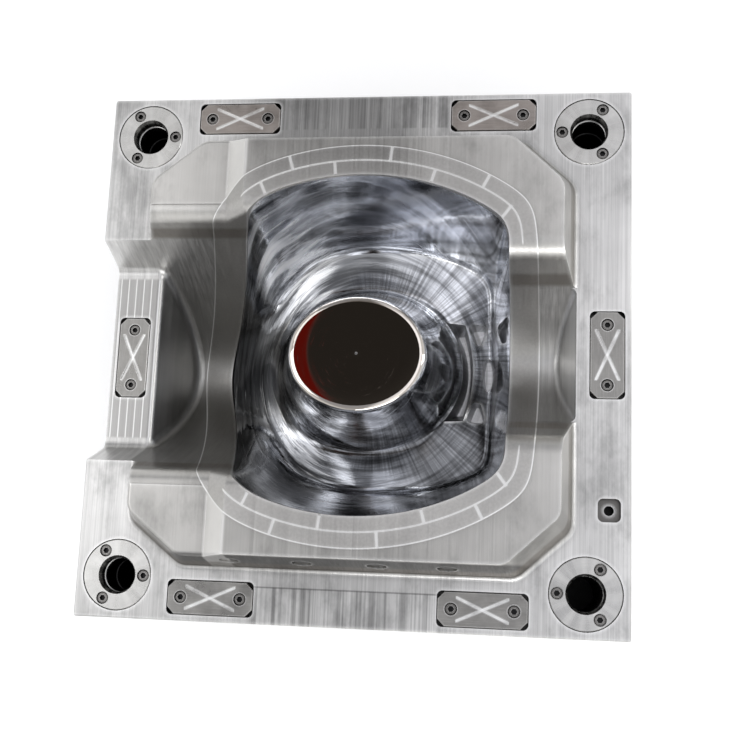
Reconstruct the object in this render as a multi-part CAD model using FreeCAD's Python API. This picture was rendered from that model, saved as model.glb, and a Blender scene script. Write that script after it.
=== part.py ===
import FreeCAD, Part
import math
import os

# Cavity half of an injection mould, millimetres, +Z out of the parting face.
# The pieces are modelled with the flat outer face of the cavity block at z = 0 and
# are lifted at the end, so that the back of the clamping plate stands at z = 0.
# X runs along the two saddle channels, Y across them.  The cavity is symmetric in Y.

# ---- plates -----------------------------------------------------------------------
PLATE_SIZE = 800.0
BLOCK_HEIGHT = 350.0
CLAMP_PLATE_HEIGHT = 50.0
PLATE_CHAMFER = 2.0
CLAMP_SLOT_DEPTH = 25.0
CLAMP_SLOT_HEIGHT = 40.0

# ---- raised platform round the cavity -----------------------------------------------
PLATFORM_HEIGHT = 80.0
PLATFORM_SIDE_MARGIN = 96.5
PLATFORM_RIGHT_MARGIN = 99.0
PLATFORM_LEFT_MARGIN = 94.0
PLATFORM_CORNER_RIGHT = (74.0, 68.0)
PLATFORM_CORNER_LEFT = (79.0, 62.0)
PLATFORM_CORNER_RADIUS = 28.0
PLATFORM_DRAFT = 12.0
PLATFORM_FOOT_RADIUS = 8.0
PLATFORM_TOP_RADIUS = 5.0
TERRACE_DROP = 20.0
RAMP_TOP_X = -163.0
RAMP_LENGTH = 30.0
LAND_WIDTH = 44.0
LAND_RELIEF = 1.5
VENT_GROOVE_OFFSET = 21.5
VENT_GROOVE_WIDTH = 1.6
VENT_DEPTH = 0.8
VENT_SLOT_WIDTH = 4.0
OUTER_VENT_X = (-85.0, 50.0, 176.0)
INNER_VENT_X = (-130.0, -27.0, 112.0, 215.0)

# ---- saddle channels: z = floor + curvature * y * y ---------------------------------
LEFT_CHANNEL_DEPTH = 244.0
LEFT_CHANNEL_CURVATURE = 0.00843
LEFT_CHANNEL_EDGE_RADIUS = 26.0
LEFT_WALL_THICKNESS = 73.3
LEFT_WALL_DRAFT = 6.0
LEFT_WALL_FOOT_RADIUS = 14.0
NOTCH_DEPTH = 74.0
NOTCH_EDGE_RADIUS = 9.0
RIGHT_CHANNEL_DEPTH = 95.0
RIGHT_CHANNEL_CURVATURE = 0.01
RIGHT_CHANNEL_EDGE_RADIUS = 33.0
RIGHT_WALL_THICKNESS = 78.0
RIGHT_WALL_DRAFT = 14.0
RIGHT_WALL_FOOT_RADIUS = 10.0

# ---- cavity --------------------------------------------------------------------------
RIM_ELLIPSE = (300.0, 246.0)
RIM_ELLIPSE_X = 12.0
RIM_RIGHT_X = 226.0
RIM_LEFT_X = 248.0
RIM_LEFT_BOW = (36.0, 60.0)
RIM_CORNER_SHARPNESS = 26.0
RIM_STEP = 3.0
RIM_OVERRUN = 16.0
SKIRT_LEAN = 8.0
BOSS_TOP_Z = -13.0
BOSS_RADII = (103.0, 87.0)
BOSS_EDGE_RADIUS = 8.0
BOSS_FOOT_RADII = (144.0, 130.0)
BOSS_FOOT_Z = -158.0
BOSS_FOOT_FILLET = 11.0
BOSS_FOOT_FILLET_LEFT = 28.0
TROUGH_EDGE_Z = -129.0
TROUGH_DROP_RIGHT = 61.0
TROUGH_DROP_LEFT = 76.0
TROUGH_FILLET = 9.0
TROUGH_FILLET_LEFT = 40.0
WALL_RUN = 50.0
WALL_RUN_RIGHT = 31.0

# hollows in the trough floor at the right, placed by their distance from the wall's foot
HOLLOW_DEPTH = 11.0
HOLLOW_DRAFT = 10.0
HOLLOW_HALF_LENGTH = 84.0
BOSS_HOLLOW_GAP = 4.0
BOSS_HOLLOW_ARC = 216.0
BOSS_HOLLOW_REACH = 25.0
WALL_HOLLOW_DISTANCE = 5.0
WALL_HOLLOW_RADII = (6.0, 24.0)
CORNER_HOLLOW = ((32.5, 75.0), (12.0, 75.0), (21.2, 44.0))
CORNER_HOLLOW_RADIUS = 3.0

# ---- guide bushes ----------------------------------------------------------------------
BUSH_EDGE_DISTANCE = 62.0
BUSH_BORE = 50.0
BUSH_BODY = 66.0
BUSH_FLANGE = 102.0
BUSH_FLANGE_HEIGHT = 20.0
BUSH_LENGTH = 140.0
BUSH_SCREW_CIRCLE = 79.0
BUSH_LEAD_IN = 3.0
BUSH_SEAT_GAP = 0.8
PILLAR_ESCAPE = 54.0

# ---- wear plates -----------------------------------------------------------------------
WEAR_LENGTH = 126.0
WEAR_WIDTH = 48.0
WEAR_CHAMFER = 10.0
WEAR_POCKET_DEPTH = 15.0
WEAR_PROUD = 1.0
WEAR_POCKET_GAP = 1.2
WEAR_POCKET_RADIUS = 8.0
WEAR_SCREW_PITCH = 88.0
WEAR_EDGE_DISTANCE = 34.0
WEAR_BUSH_DISTANCE = 142.0
OIL_GROOVE_SPAN = (72.0, 32.0)
OIL_GROOVE_WIDTH = 3.4
OIL_GROOVE_DEPTH = 1.5

# ---- cap screws: thread, head diameter, head height, socket across flats ------------------
M10 = (10.0, 16.0, 10.0, 8.0)
M20 = (20.0, 30.0, 20.0, 17.0)
SCREW_GAP = 1.0
M10_LENGTH = 30.0
M20_LENGTH = 65.0

# ---- back of the mould --------------------------------------------------------------------
RING_DIAMETER = 150.0
RING_HEIGHT = 20.0
RING_BORE = 52.0
RING_SCREW_CIRCLE = 120.0
NOZZLE_HEAD = 84.0
NOZZLE_BODY = 44.0
NOZZLE_CHANNEL = 8.0
NOZZLE_TAPER = 30.0
GATE_DIAMETER = 4.0
GATE_LAND = 3.0
FIT_GAP = 0.3
CLAMP_SCREW_EDGE_DISTANCE = (50.0, 140.0)
DOWEL_DIAMETER = 20.0
DOWEL_LENGTH = 60.0
DOWEL_OFFSET = 150.0

# ---- holes in the side faces ------------------------------------------------------------------
LIFTING_HOLE = 30.0
LIFTING_DEPTH = 50.0
LIFTING_Z = -200.0
COOLING_LINE = 14.0
COOLING_Z = -288.0
COOLING_X = (90.0, 180.0)
PORT_DIAMETER = 36.0
PORT_DEPTH = 30.0
NIPPLE_HEX = 22.0
NIPPLE_HEX_HEIGHT = 8.0
NIPPLE_BORE = 9.0
CORNER_POCKET = (32.0, 33.0)
CORNER_POCKET_RADIUS = 8.0
CORNER_POCKET_DEPTH = 12.0
CORNER_POCKET_PLACE = (30.5, 178.5)
CORNER_POCKET_THREAD = 14.0
WALL_MARK = 28.0
WALL_MARK_DEPTH = 2.5
WALL_MARK_X = (-161.0, -56.0, 50.0, 148.0)

LIFT = BLOCK_HEIGHT + CLAMP_PLATE_HEIGHT
HALF = PLATE_SIZE / 2
PLATFORM_HALF_WIDTH = HALF - PLATFORM_SIDE_MARGIN
LEFT_WALL_X = LEFT_WALL_THICKNESS - HALF
RIGHT_WALL_X = HALF - RIGHT_WALL_THICKNESS
BUSH_PLACE = HALF - BUSH_EDGE_DISTANCE
WEAR_PLACE = HALF - WEAR_EDGE_DISTANCE
WEAR_OFFSET = BUSH_PLACE - WEAR_BUSH_DISTANCE
ABOVE = PLATFORM_HEIGHT + 60.0
RING_SIDES = 72
RING_ANGLES = [2 * math.pi * i / RING_SIDES for i in range(RING_SIDES)]


def vec(x, y, z=0.0):
    return FreeCAD.Vector(x, y, z)


def box(x0, x1, y0, y1, z0, z1):
    return Part.makeBox(x1 - x0, y1 - y0, z1 - z0, vec(x0, y0, z0))


def rod(radius, x, y, z0, z1):
    return Part.makeCylinder(radius, z1 - z0, vec(x, y, z0))


def polygon_face(points):
    return Part.Face(Part.makePolygon(points + points[:1]))


def hexagon(flats, z, height):
    corner = flats / math.sqrt(3)
    turns = [math.radians(60 * i) for i in range(6)]
    points = [vec(corner * math.cos(turn), corner * math.sin(turn), z) for turn in turns]
    return polygon_face(points).extrude(vec(0, 0, height))


def ellipse_wire(radii, x, z):
    ellipse = Part.Ellipse(vec(x, 0, z), max(radii), min(radii))
    if radii[1] > radii[0]:
        ellipse.AngleXU = math.pi / 2
    return Part.Wire([ellipse.toShape()])


def rounded_wire(corners, radius, z, grow=0.0):
    """Closed outline through the corners, each rounded with the same radius, then grown."""
    edges = []
    ends = []
    count = len(corners)
    for i, corner in enumerate(corners):
        here = vec(corner[0], corner[1], z)
        before = vec(corners[i - 1][0], corners[i - 1][1], z) - here
        after = vec(corners[(i + 1) % count][0], corners[(i + 1) % count][1], z) - here
        turn = before.getAngle(after)
        before.normalize()
        after.normalize()
        reach = (radius + grow) / math.tan(turn / 2)
        middle = before + after
        middle.normalize()
        here -= middle * (grow / math.sin(turn / 2))
        centre = here + middle * ((radius + grow) / math.sin(turn / 2))
        start = here + before * reach
        end = here + after * reach
        edges.append(Part.Arc(start, centre - middle * (radius + grow), end).toShape())
        ends.append((start, end))
    for i in range(count):
        edges.append(Part.makeLine(ends[i][1], ends[(i + 1) % count][0]))
    return Part.Wire(Part.__sortEdges__(edges))


# ---- outlines in plan, as a radius at an angle --------------------------------------------

def smooth_min(values, sharpness):
    return sum(v ** -sharpness for v in values) ** (-1.0 / sharpness)


def ellipse_radius(radii, angle):
    return 1.0 / math.hypot(math.cos(angle) / radii[0], math.sin(angle) / radii[1])


def offset_ellipse_radius(angle):
    """Distance from the origin to the long front and rear arcs of the rim."""
    c, s = math.cos(angle), math.sin(angle)
    a, b = RIM_ELLIPSE
    square = (c / a) ** 2 + (s / b) ** 2
    linear = -2 * c * RIM_ELLIPSE_X / a ** 2
    rest = (RIM_ELLIPSE_X / a) ** 2 - 1
    return (-linear + math.sqrt(linear ** 2 - 4 * square * rest)) / (2 * square)


def left_bow_radius(angle):
    """Distance to the hyperbola that closes the rim in the left channel."""
    c, s = math.cos(angle), abs(math.sin(angle))
    rise, spread = RIM_LEFT_BOW
    low, high = 0.0, 2 * HALF
    for _ in range(50):
        r = (low + high) / 2
        if r * c + RIM_LEFT_X > rise * (math.hypot(1, r * s / spread) - 1):
            low = r
        else:
            high = r
    return low


def rim_radius(angle):
    sides = [offset_ellipse_radius(angle)]
    c = math.cos(angle)
    if c > 0.02:
        sides.append(RIM_RIGHT_X / c)
    if c < -0.02:
        sides.append(left_bow_radius(angle))
    return smooth_min(sides, RIM_CORNER_SHARPNESS)


def ring_wire(radius_and_height):
    """Closed smooth curve whose parameter is the angle, so that rings pair up radially."""
    points = []
    for angle in RING_ANGLES:
        r, z = radius_and_height(angle)
        points.append(vec(r * math.cos(angle), r * math.sin(angle), z))
    curve = Part.BSplineCurve()
    curve.interpolate(Points=points, Parameters=RING_ANGLES + [2 * math.pi], PeriodicFlag=True)
    return Part.Wire([curve.toShape()])


def outline_prism(offset, z0, z1):
    """Upright prism on the rim's outline, grown by offset."""
    wire = ring_wire(lambda angle: (rim_radius(angle) + offset, z0))
    return Part.Face(wire).extrude(vec(0, 0, z1 - z0))


# ---- platform and channels ---------------------------------------------------------------

def platform_corners(grow):
    right = HALF - PLATFORM_RIGHT_MARGIN + grow
    left = PLATFORM_LEFT_MARGIN - HALF - grow
    side = PLATFORM_HALF_WIDTH + grow
    rx, ry = PLATFORM_CORNER_RIGHT
    lx, ly = PLATFORM_CORNER_LEFT
    half = [(right, side - ry), (right - rx, side), (left + lx, side), (left, side - ly)]
    return half + [(x, -y) for x, y in reversed(half)]


def platform():
    """Drafted pad with a lower terrace at its left end and a ramp up to the top."""
    spread = PLATFORM_HEIGHT * math.tan(math.radians(PLATFORM_DRAFT))
    foot = rounded_wire(platform_corners(spread), PLATFORM_CORNER_RADIUS, 0)
    top = rounded_wire(platform_corners(0), PLATFORM_CORNER_RADIUS, PLATFORM_HEIGHT)
    pad = Part.makeLoft([foot, top], True, True)
    terrace = PLATFORM_HEIGHT - TERRACE_DROP
    ramp = polygon_face([
        vec(-HALF, -HALF, terrace),
        vec(RAMP_TOP_X - RAMP_LENGTH, -HALF, terrace),
        vec(RAMP_TOP_X, -HALF, PLATFORM_HEIGHT),
        vec(RAMP_TOP_X, -HALF, ABOVE),
        vec(-HALF, -HALF, ABOVE),
    ]).extrude(vec(0, PLATE_SIZE, 0))
    return pad.cut(ramp)


def channel_wire(x, depth, curvature, top, radius):
    """Channel section at x: a parabola that rolls over the edge at height top."""
    y = 0.0
    slope = 0.0
    for _ in range(40):
        roll = radius * (1 - math.cos(slope))
        y = math.sqrt((top - roll + depth) / curvature)
        slope = math.atan(2 * curvature * y)
    z = curvature * y * y - depth
    edge = y + radius * math.sin(slope)
    half = slope / 2
    bow_y = edge - radius * math.sin(half)
    bow_z = top - radius + radius * math.cos(half)
    parabola = Part.BezierCurve()
    parabola.setPoles([vec(x, -y, z), vec(x, 0, -depth - curvature * y * y), vec(x, y, z)])
    right = Part.Arc(vec(x, y, z), vec(x, bow_y, bow_z), vec(x, edge, top))
    left = Part.Arc(vec(x, -edge, top), vec(x, -bow_y, bow_z), vec(x, -y, z))
    return Part.Wire([
        parabola.toShape(),
        right.toShape(),
        Part.makeLine(vec(x, edge, top), vec(x, edge, ABOVE)),
        Part.makeLine(vec(x, edge, ABOVE), vec(x, -edge, ABOVE)),
        Part.makeLine(vec(x, -edge, ABOVE), vec(x, -edge, top)),
        left.toShape(),
    ])


def wall_foot(space, beyond):
    """Curved edges where a channel's floor meets its end wall, further out than beyond."""
    return [e for e in space.Edges
            if e.Curve.TypeId == "Part::GeomBSplineCurve"
            and e.CenterOfMass.z < -1 and abs(e.CenterOfMass.x) > beyond + 1]


def left_channel(drop):
    """Space of the left channel and of the notch beyond it, lowered by drop."""
    def section(x, top):
        return channel_wire(x, LEFT_CHANNEL_DEPTH + drop, LEFT_CHANNEL_CURVATURE,
                            top - drop, LEFT_CHANNEL_EDGE_RADIUS)

    high = PLATFORM_HEIGHT
    low = PLATFORM_HEIGHT - TERRACE_DROP
    ramp_foot = RAMP_TOP_X - RAMP_LENGTH
    inner = Part.Face(section(RAMP_TOP_X, high)).extrude(vec(-RAMP_TOP_X, 0, 0))
    ramp = Part.makeLoft([section(ramp_foot, low), section(RAMP_TOP_X, high)], True, True)
    outer = Part.Face(section(ramp_foot, low)).extrude(vec(-HALF - 1 - ramp_foot, 0, 0))
    sill_depth = LEFT_CHANNEL_DEPTH + 20
    lean = (sill_depth - NOTCH_DEPTH) * math.tan(math.radians(LEFT_WALL_DRAFT))
    sill = polygon_face([
        vec(-HALF - 5, -HALF, -NOTCH_DEPTH),
        vec(LEFT_WALL_X, -HALF, -NOTCH_DEPTH),
        vec(LEFT_WALL_X + lean, -HALF, -sill_depth),
        vec(-HALF - 5, -HALF, -sill_depth),
    ]).extrude(vec(0, PLATE_SIZE, 0))
    brow = [e for e in sill.Edges
            if abs(e.CenterOfMass.x - LEFT_WALL_X) < 1 and abs(e.CenterOfMass.y) < 1]
    sill = sill.makeFillet(NOTCH_EDGE_RADIUS, brow)
    space = inner.fuse([ramp, outer]).cut(sill)
    return space.makeFillet(LEFT_WALL_FOOT_RADIUS, wall_foot(space, -ramp_foot))


def right_channel(drop):
    """Space of the right channel, closed by a drafted end wall below the outer face."""
    depth = RIGHT_CHANNEL_DEPTH + drop
    wire = channel_wire(0, depth, RIGHT_CHANNEL_CURVATURE,
                        PLATFORM_HEIGHT - drop, RIGHT_CHANNEL_EDGE_RADIUS)
    clear = RIGHT_WALL_X + 2 * PLATFORM_FOOT_RADIUS
    space = Part.Face(wire).extrude(vec(clear, 0, 0))
    lean = (depth + 20) * math.tan(math.radians(RIGHT_WALL_DRAFT))
    wall = polygon_face([
        vec(RIGHT_WALL_X, -HALF, 0),
        vec(clear + 1, -HALF, 0),
        vec(clear + 1, -HALF, -depth - 20),
        vec(RIGHT_WALL_X - lean, -HALF, -depth - 20),
    ]).extrude(vec(0, PLATE_SIZE, 0))
    space = space.cut(wall)
    return space.makeFillet(RIGHT_WALL_FOOT_RADIUS, wall_foot(space, 0))


# ---- cavity --------------------------------------------------------------------------------

def land_height(x, y):
    """Height of the channels that cross the rim, levelling off above the platform."""
    if x < 0:
        channel = LEFT_CHANNEL_CURVATURE * y * y - LEFT_CHANNEL_DEPTH
    else:
        channel = RIGHT_CHANNEL_CURVATURE * y * y - RIGHT_CHANNEL_DEPTH
    level = PLATFORM_HEIGHT + RIM_OVERRUN
    gap = level - channel
    return level - (gap + math.hypot(gap, RIM_OVERRUN)) / 2


def side_share(angle, right, left):
    """Value that is nothing at the front and rear, and grows to right or left."""
    c = math.cos(angle)
    return (right if c > 0 else left) * c * c


def section_corners(angle):
    """Radius, height and fillet of each corner of the cavity's section at an angle."""
    rim = rim_radius(angle)
    boss = ellipse_radius(BOSS_RADII, angle)
    foot = ellipse_radius(BOSS_FOOT_RADII, angle)
    wall = WALL_RUN - side_share(angle, WALL_RUN - WALL_RUN_RIGHT, 0)
    trough = TROUGH_EDGE_Z - side_share(angle, TROUGH_DROP_RIGHT, TROUGH_DROP_LEFT)
    rim_z = land_height(rim * math.cos(angle), rim * math.sin(angle)) - RIM_STEP
    lean = WALL_RUN / (PLATFORM_HEIGHT - TROUGH_EDGE_Z)
    past_rim = max(0, rim_z - PLATFORM_HEIGHT) * lean
    foot_fillet = BOSS_FOOT_FILLET + side_share(angle, 0, BOSS_FOOT_FILLET_LEFT - BOSS_FOOT_FILLET)
    trough_fillet = TROUGH_FILLET + side_share(angle, 0, TROUGH_FILLET_LEFT - TROUGH_FILLET)
    return [
        (0, BOSS_TOP_Z, 0),
        (boss, BOSS_TOP_Z, BOSS_EDGE_RADIUS),
        (foot, BOSS_FOOT_Z, foot_fillet),
        (rim - wall, trough, trough_fillet),
        (rim + past_rim, rim_z, 0),
    ]


def section_bands(angle, arc_steps=4):
    """Section from the boss top to the rim: the points of each fillet, then the rim."""
    corners = section_corners(angle)
    bands = []
    for before, here, after in zip(corners, corners[1:], corners[2:]):
        back = math.hypot(before[0] - here[0], before[1] - here[1])
        ahead = math.hypot(after[0] - here[0], after[1] - here[1])
        start = [here[k] + (before[k] - here[k]) * here[2] / back for k in (0, 1)]
        end = [here[k] + (after[k] - here[k]) * here[2] / ahead for k in (0, 1)]
        arc = []
        for i in range(arc_steps + 1):
            t = i / arc_steps
            arc.append([(1 - t) ** 2 * start[k] + 2 * t * (1 - t) * here[k] + t * t * end[k]
                        for k in (0, 1)])
        bands.append(arc)
    bands.append([corners[-1][:2]])
    return bands


def cavity_space():
    """Everything above the moulding surface, inside the rim."""
    bands = []
    for b, band in enumerate(section_bands(0)):
        bands.append([ring_wire(lambda angle: section_bands(angle)[b][k]) for k in range(len(band))])
    top = ring_wire(lambda angle: (rim_radius(angle) + SKIRT_LEAN, ABOVE))
    bands.append([top])
    faces = [Part.Face(bands[0][0]), Part.Face(top)]
    for wires, following in zip(bands, bands[1:]):
        if len(wires) > 1:
            faces += Part.makeLoft(wires, False, False).Faces
        faces += Part.makeLoft([wires[-1], following[0]], False, True).Faces
    shell = Part.makeShell(faces)
    shell.sewShape()
    solid = Part.Solid(shell)
    if solid.Volume < 0:
        solid.reverse()
    return solid


def elliptic_cone(radii, x, low, high, grow):
    """Upright cone between an ellipse at low and the same one grown at high."""
    wide = [radius + grow for radius in radii]
    return Part.makeLoft([ellipse_wire(radii, x, low), ellipse_wire(wide, x, high)], True, True)


def hollows():
    """Hollows that leave a rib shaped like a star between the boss and the right wall."""
    foot_x = RIM_RIGHT_X - WALL_RUN_RIGHT
    low = TROUGH_EDGE_Z - TROUGH_DROP_RIGHT - HOLLOW_DEPTH
    high = BOSS_FOOT_Z + BOSS_FOOT_FILLET
    rise = high - low
    grow = rise * math.tan(math.radians(HOLLOW_DRAFT))
    arc_x = foot_x - BOSS_HOLLOW_REACH - BOSS_HOLLOW_ARC
    disc = Part.makeCone(BOSS_HOLLOW_ARC - grow, BOSS_HOLLOW_ARC, rise, vec(arc_x, 0, low))
    half = HOLLOW_HALF_LENGTH
    between_ends = polygon_face([
        vec(0, 2 * grow - half, low),
        vec(0, half - 2 * grow, low),
        vec(0, half, high),
        vec(0, -half, high),
    ]).extrude(vec(HALF, 0, 0))
    boss_floor = [radius + BOSS_HOLLOW_GAP + grow for radius in BOSS_FOOT_RADII]
    boss = elliptic_cone(boss_floor, 0, low, high, -grow)
    eye = elliptic_cone(WALL_HOLLOW_RADII, foot_x - WALL_HOLLOW_DISTANCE, low, high, grow)
    found = [disc.common(between_ends).cut(boss), eye]
    for side in (-1, 1):
        corners = [(foot_x - distance, side * y) for distance, y in CORNER_HOLLOW]
        floor = rounded_wire(corners, CORNER_HOLLOW_RADIUS, low)
        mouth = rounded_wire(corners, CORNER_HOLLOW_RADIUS, high, grow)
        found.append(Part.makeLoft([floor, mouth], True, True))
    return found


def vent_slot(x, side, start, end):
    """Shallow slot square to the rim, from one distance outside it to another."""
    a, b = RIM_ELLIPSE
    share = (x - RIM_ELLIPSE_X) / a
    rest = math.sqrt(1 - share * share)
    turn = math.degrees(math.atan2(side * rest / b, share / a))
    slot = box(start, end, -VENT_SLOT_WIDTH / 2, VENT_SLOT_WIDTH / 2, PLATFORM_HEIGHT - VENT_DEPTH, ABOVE)
    return turned(slot, x, side * b * rest, 0, turn)


def vents():
    """Groove along the middle of the land, with short slots on both sides of it."""
    low = PLATFORM_HEIGHT - VENT_DEPTH
    outer = outline_prism(VENT_GROOVE_OFFSET + VENT_GROOVE_WIDTH / 2, low, ABOVE)
    inner = outline_prism(VENT_GROOVE_OFFSET - VENT_GROOVE_WIDTH / 2, low, ABOVE)
    found = [outer.cut(inner)]
    for side in (-1, 1):
        found += [vent_slot(x, side, VENT_GROOVE_OFFSET, LAND_WIDTH + 1) for x in OUTER_VENT_X]
        found += [vent_slot(x, side, 0, VENT_GROOVE_OFFSET) for x in INNER_VENT_X]
    return found


def moulding_surface(block):
    """Cut both channels and the cavity, leaving a land proud of the platform round the rim."""
    inside_rim = outline_prism(-RIM_STEP / 2, -BLOCK_HEIGHT, ABOVE + 20)
    land = outline_prism(LAND_WIDTH, -BLOCK_HEIGHT, ABOVE + 20)
    skim = box(-HALF, HALF, -HALF, HALF, PLATFORM_HEIGHT - LAND_RELIEF, ABOVE)
    at_land = [left_channel(0).cut(inside_rim), right_channel(0).cut(inside_rim)]
    low = [skim, left_channel(LAND_RELIEF), right_channel(LAND_RELIEF)]
    relieved = [space.cut(land) for space in low]
    return block.cut(at_land + relieved + vents() + hollows() + [cavity_space()])


def inside_plate(edge):
    """True for an edge that stays clear of the outside of the block."""
    bounds = edge.BoundBox
    reach = max(-bounds.XMin, bounds.XMax, -bounds.YMin, bounds.YMax)
    return reach < HALF - 2 * PLATE_CHAMFER


def base_block():
    """Block with its platform, chamfers and fillets, before the cavity is cut."""
    block = box(-HALF, HALF, -HALF, HALF, -BLOCK_HEIGHT, 0)
    block = block.makeChamfer(PLATE_CHAMFER, block.Edges)
    block = block.fuse(platform()).removeSplitter()
    foot = [e for e in block.Edges if inside_plate(e) and abs(e.BoundBox.Center.z) < 0.01]
    block = block.makeFillet(PLATFORM_FOOT_RADIUS, foot)
    terrace = PLATFORM_HEIGHT - TERRACE_DROP
    brow = [e for e in block.Edges
            if e.BoundBox.ZMin > terrace - 0.01
            and e.BoundBox.YLength < 2 * PLATFORM_CORNER_LEFT[1] + HALF]
    return block.makeFillet(PLATFORM_TOP_RADIUS, brow)


# ---- screws ------------------------------------------------------------------------------------

def cap_screw(size, length, x, y, seat, up=1):
    """Socket cap screw with the underside of its head at height seat; up is 1 or -1."""
    thread, head, head_height, socket = size
    bevel = thread / 10
    shank = Part.makeCylinder(thread / 2, length, vec(0, 0, -length))
    shank = shank.makeChamfer(bevel, shank.Edges[-1:])
    crown = Part.makeCylinder(head / 2, head_height, vec(0, 0, 0))
    crown = crown.makeChamfer(bevel, [e for e in crown.Edges if e.BoundBox.ZMin > head_height - 0.01])
    recess = hexagon(socket, head_height / 2, head_height)
    screw = shank.fuse(crown).cut(recess).removeSplitter()
    if up < 0:
        screw.rotate(vec(0, 0, 0), vec(1, 0, 0), 180)
    screw.translate(vec(x, y, seat))
    return screw


def screw_hole(size, length, x, y, seat, mouth, up=1):
    """Counterbore from seat to mouth, and the tapped hole beyond the seat."""
    thread, head = size[:2]
    tip = seat - up * (length + thread / 2)
    shaft = rod(thread / 2 + SCREW_GAP / 4, x, y, min(tip, seat), max(tip, seat))
    counterbore = rod(head / 2 + SCREW_GAP, x, y, min(seat, mouth), max(seat, mouth))
    return shaft.fuse(counterbore)


# ---- guide bushes --------------------------------------------------------------------------------

def bush_places():
    """Name, X, Y and angle of the first screw of each guide bush."""
    places = []
    for depth, sy in (("front", -1), ("rear", 1)):
        for side, sx, first in (("left", -1, 0), ("right", 1, 180)):
            places.append((depth + "_" + side, sx * BUSH_PLACE, sy * BUSH_PLACE, first))
    return places


def bush_screw_places(x, y, first):
    r = BUSH_SCREW_CIRCLE / 2
    angles = [math.radians(first + 120 * i) for i in range(3)]
    return [(x + r * math.cos(a), y + r * math.sin(a)) for a in angles]


def bush_screw_seat():
    return -M10[2] - SCREW_GAP


def bush_seat(x, y):
    """Stepped hole in the block for one bush, open to the back for the pillar."""
    flange = rod(BUSH_FLANGE / 2 + BUSH_SEAT_GAP, x, y, -BUSH_FLANGE_HEIGHT, 1)
    body = rod(BUSH_BODY / 2 + FIT_GAP / 6, x, y, -BUSH_LENGTH, 0)
    escape = rod(PILLAR_ESCAPE / 2, x, y, -BLOCK_HEIGHT - 1, -BUSH_LENGTH)
    return flange.fuse([body, escape])


def guide_bush(x, y, first):
    """Flanged bush with a lead-in, two oil grooves and three counterbored screw holes."""
    bore = BUSH_BORE / 2
    flange = BUSH_FLANGE / 2
    body = BUSH_BODY / 2
    profile = [
        (bore + BUSH_LEAD_IN, 0),
        (flange - 1, 0),
        (flange, -1),
        (flange, -BUSH_FLANGE_HEIGHT),
        (body, -BUSH_FLANGE_HEIGHT),
        (body, -BUSH_LENGTH + 2),
        (body - 2, -BUSH_LENGTH),
        (bore + 1, -BUSH_LENGTH),
        (bore, -BUSH_LENGTH + 1),
        (bore, -BUSH_LEAD_IN * 2),
    ]
    face = polygon_face([vec(r, 0, z) for r, z in profile])
    bush = face.revolve(vec(0, 0, 0), vec(0, 0, 1), 360)
    for z in (-BUSH_FLANGE_HEIGHT, -BUSH_LENGTH / 2):
        groove = polygon_face([vec(bore - 1, 0, z - 3), vec(bore + 1.5, 0, z - 2),
                               vec(bore + 1.5, 0, z + 2), vec(bore - 1, 0, z + 3)])
        bush = bush.cut(groove.revolve(vec(0, 0, 0), vec(0, 0, 1), 360))
    bush.translate(vec(x, y, 0))
    seat = bush_screw_seat()
    holes = [screw_hole(M10, M10_LENGTH, sx, sy, seat, 1)
             for sx, sy in bush_screw_places(x, y, first)]
    return bush.cut(holes)


# ---- wear plates ------------------------------------------------------------------------------------

def wear_places():
    """Name, X, Y, height of the surface round it and turn of each wear plate."""
    notch = -NOTCH_DEPTH
    return [
        ("front_left", -WEAR_OFFSET, -WEAR_PLACE, 0, 0),
        ("front_right", WEAR_OFFSET, -WEAR_PLACE, 0, 0),
        ("rear_left", -WEAR_OFFSET, WEAR_PLACE, 0, 0),
        ("rear_right", WEAR_OFFSET, WEAR_PLACE, 0, 0),
        ("left", -WEAR_PLACE, 0, notch, 90),
        ("right", WEAR_PLACE, 0, 0, 90),
    ]


def turned(shape, x, y, z, turn):
    shape = shape.copy()
    shape.rotate(vec(0, 0, 0), vec(0, 0, 1), turn)
    shape.translate(vec(x, y, z))
    return shape


def wear_screw_places(x, y, turn):
    half = WEAR_SCREW_PITCH / 2
    dx, dy = (half, 0) if turn == 0 else (0, half)
    return [(x - dx, y - dy), (x + dx, y + dy)]


def wear_screw_seat():
    return WEAR_PROUD - SCREW_GAP - M10[2]


def wear_pocket(x, y, z, turn):
    gap = WEAR_POCKET_GAP
    hx, hy = WEAR_LENGTH / 2 + gap, WEAR_WIDTH / 2 + gap
    wire = rounded_wire([(-hx, -hy), (hx, -hy), (hx, hy), (-hx, hy)], WEAR_POCKET_RADIUS, 0)
    pocket = Part.Face(wire).extrude(vec(0, 0, WEAR_POCKET_DEPTH + 10))
    return turned(pocket, x, y, z - WEAR_POCKET_DEPTH, turn)


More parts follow.
